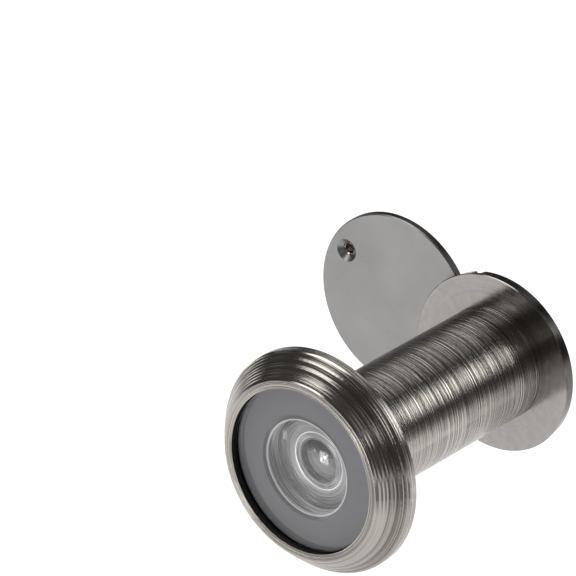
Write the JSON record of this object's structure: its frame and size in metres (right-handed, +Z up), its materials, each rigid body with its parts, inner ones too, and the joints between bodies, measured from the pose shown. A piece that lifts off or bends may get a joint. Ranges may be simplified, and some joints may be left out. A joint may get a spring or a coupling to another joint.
{
  "type": "door viewer",
  "caption": "Adjustable door viewer: wide-angle lens in a round outdoor head, threaded eyepiece on the indoor side and a swinging eyepiece cover.",
  "frame": {"origin": "centre of the outdoor head's rear seating face, on the viewing axis", "axes": "+Y along the viewing axis from outdoors to indoors, +Z up, +X to the right as seen from outdoors"},
  "size_m": [0.0405, 0.0406, 0.0272],
  "materials": {
    "satin_nickel": "satin nickel plate, turned",
    "cover_nickel": "satin nickel plate, fine grained",
    "polished_nickel": "polished nickel plate",
    "spring_steel": "bare spring steel",
    "lens_glass": "polished optical glass",
    "dark_anodised": "dark grey anodised, satin",
    "bare_aluminium": "turned",
    "black_anodised": "black anodised",
    "black_rubber": "moulded"
  },
  "bodies": {
    "outer": {"outer_barrel": "satin_nickel", "front_seal": "black_rubber", "objective_lens": "lens_glass", "backing_ring": "dark_anodised", "second_lens_cell": "bare_aluminium", "second_lens": "lens_glass", "lens_spacer": "black_anodised", "third_lens": "lens_glass", "stack_retainer": "black_anodised"},
    "ocular_optics": {"field_lens": "lens_glass", "ocular_spacer": "black_anodised", "ocular_lens": "lens_glass", "ocular_stop": "black_anodised"},
    "eyepiece": {"eyepiece_sleeve": "satin_nickel", "ocular_retainer": "black_anodised", "pivot_rivet": "polished_nickel", "spring_washer": "spring_steel"},
    "cover": {"cover_disc": "cover_nickel", "cover_knob": "polished_nickel"}
  },
  "joints": [
    {"name": "eyepiece_travel", "type": "slide", "parent": "outer", "child": "ocular_optics", "axis": [0, 1, 0], "range_m": [0, 0.016]},
    {"name": "eyepiece_turn", "type": "hinge", "parent": "ocular_optics", "child": "eyepiece", "pos_m": [0, 0.03094, 0], "axis": [0, 1, 0], "range_deg": [0, 5760]},
    {"name": "cover_swing", "type": "hinge", "parent": "eyepiece", "child": "cover", "pos_m": [-0.0084, 0.033, -0.00228], "axis": [0, 1, 0], "range_deg": [-46.8, 133.2]}
  ],
  "couplings": [
    {"joint": "eyepiece_travel", "follows": "eyepiece_turn", "m_per_rad": 0.00015915}
  ]
}
